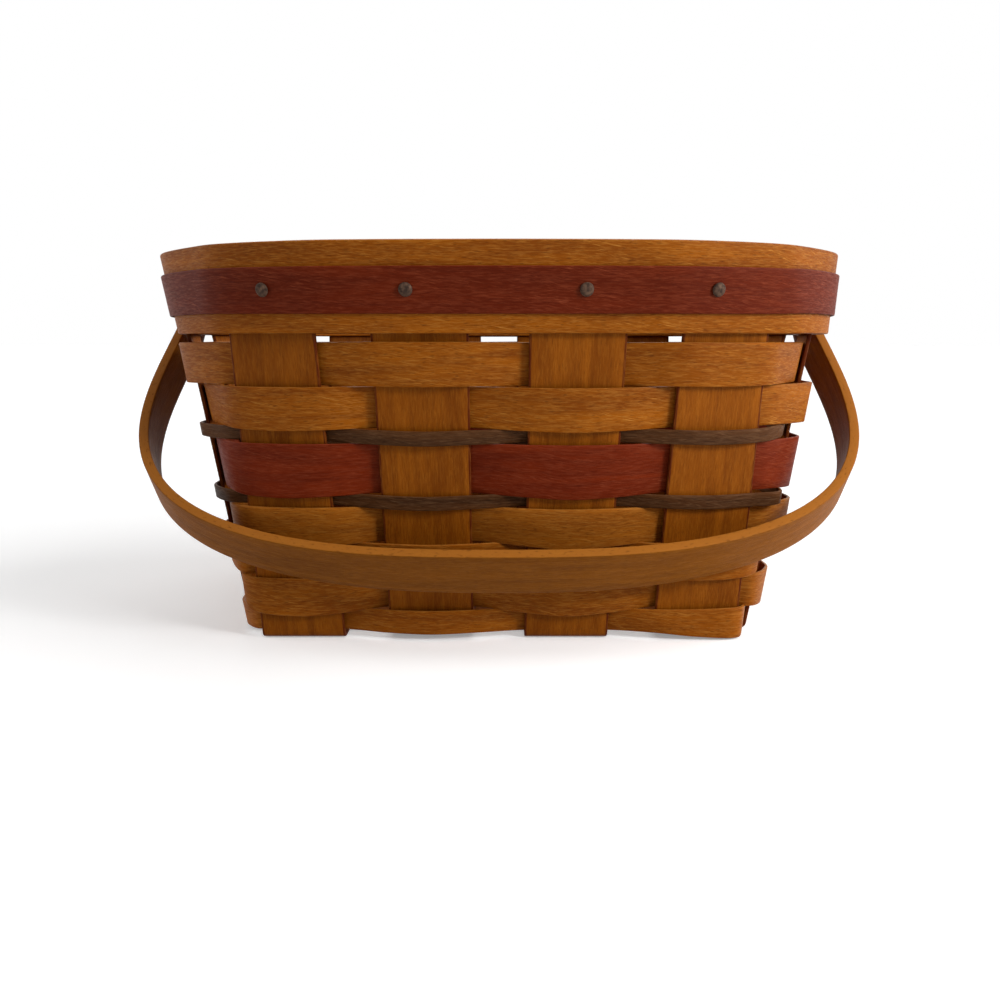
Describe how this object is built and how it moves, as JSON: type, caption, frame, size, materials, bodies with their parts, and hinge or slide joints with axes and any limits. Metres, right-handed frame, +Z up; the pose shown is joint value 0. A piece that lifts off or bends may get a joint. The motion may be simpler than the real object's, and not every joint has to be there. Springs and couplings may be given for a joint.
{
  "type": "woven market basket",
  "caption": "Hand-woven wood splint basket with dyed red and brown weavers, a tacked rim with red trim, and a riveted swing handle",
  "frame": {"origin": "middle of the footprint of the whole part, on the surface that it stands on", "axes": "+X to the right as seen from the front, along the handle's pivot line; +Y to the back; +Z up"},
  "size_m": [0.2478, 0.2172, 0.1256],
  "materials": {
    "natural_wood": "stained and sealed maple splint, satin",
    "splint_wood": "stained and sealed maple splint, satin",
    "red_wood": "dyed and sealed maple splint, satin",
    "brown_wood": "dyed and sealed maple splint, satin",
    "handle_wood": "stained and sealed bent hardwood, satin",
    "tack_metal": "dulled, brown-grey",
    "rivet_metal": "dulled"
  },
  "bodies": {
    "basket": {"splint_front_back_1": "splint_wood", "splint_front_back_2": "splint_wood", "splint_front_back_3": "splint_wood", "splint_front_back_4": "splint_wood", "splint_side_side_1": "splint_wood", "splint_side_side_2": "splint_wood", "splint_side_side_3": "splint_wood", "weaver_row_1_floor": "natural_wood", "weaver_row_2": "natural_wood", "weaver_row_3": "natural_wood", "weaver_row_4": "natural_wood", "weaver_row_5_brown": "brown_wood", "weaver_row_6_red": "red_wood", "weaver_row_7_brown": "brown_wood", "weaver_row_8": "natural_wood", "weaver_row_9": "natural_wood", "outer_band": "natural_wood", "inner_band": "natural_wood", "trim_strip": "red_wood", "tack_1": "tack_metal", "tack_2": "tack_metal", "tack_3": "tack_metal", "tack_4": "tack_metal", "tack_5": "tack_metal", "tack_6": "tack_metal", "tack_7": "tack_metal", "tack_8": "tack_metal", "tack_9": "tack_metal", "tack_10": "tack_metal", "tack_11": "tack_metal", "tack_12": "tack_metal", "rivet_right": "rivet_metal", "washer_right": "rivet_metal", "rivet_left": "rivet_metal", "washer_left": "rivet_metal"},
    "swing_handle": {"handle": "handle_wood"}
  },
  "joints": [
    {"name": "handle_swing", "type": "hinge", "parent": "basket", "child": "swing_handle", "pos_m": [0, 0, 0.1074], "axis": [-1, 0, 0], "range_deg": [0, 259]}
  ]
}
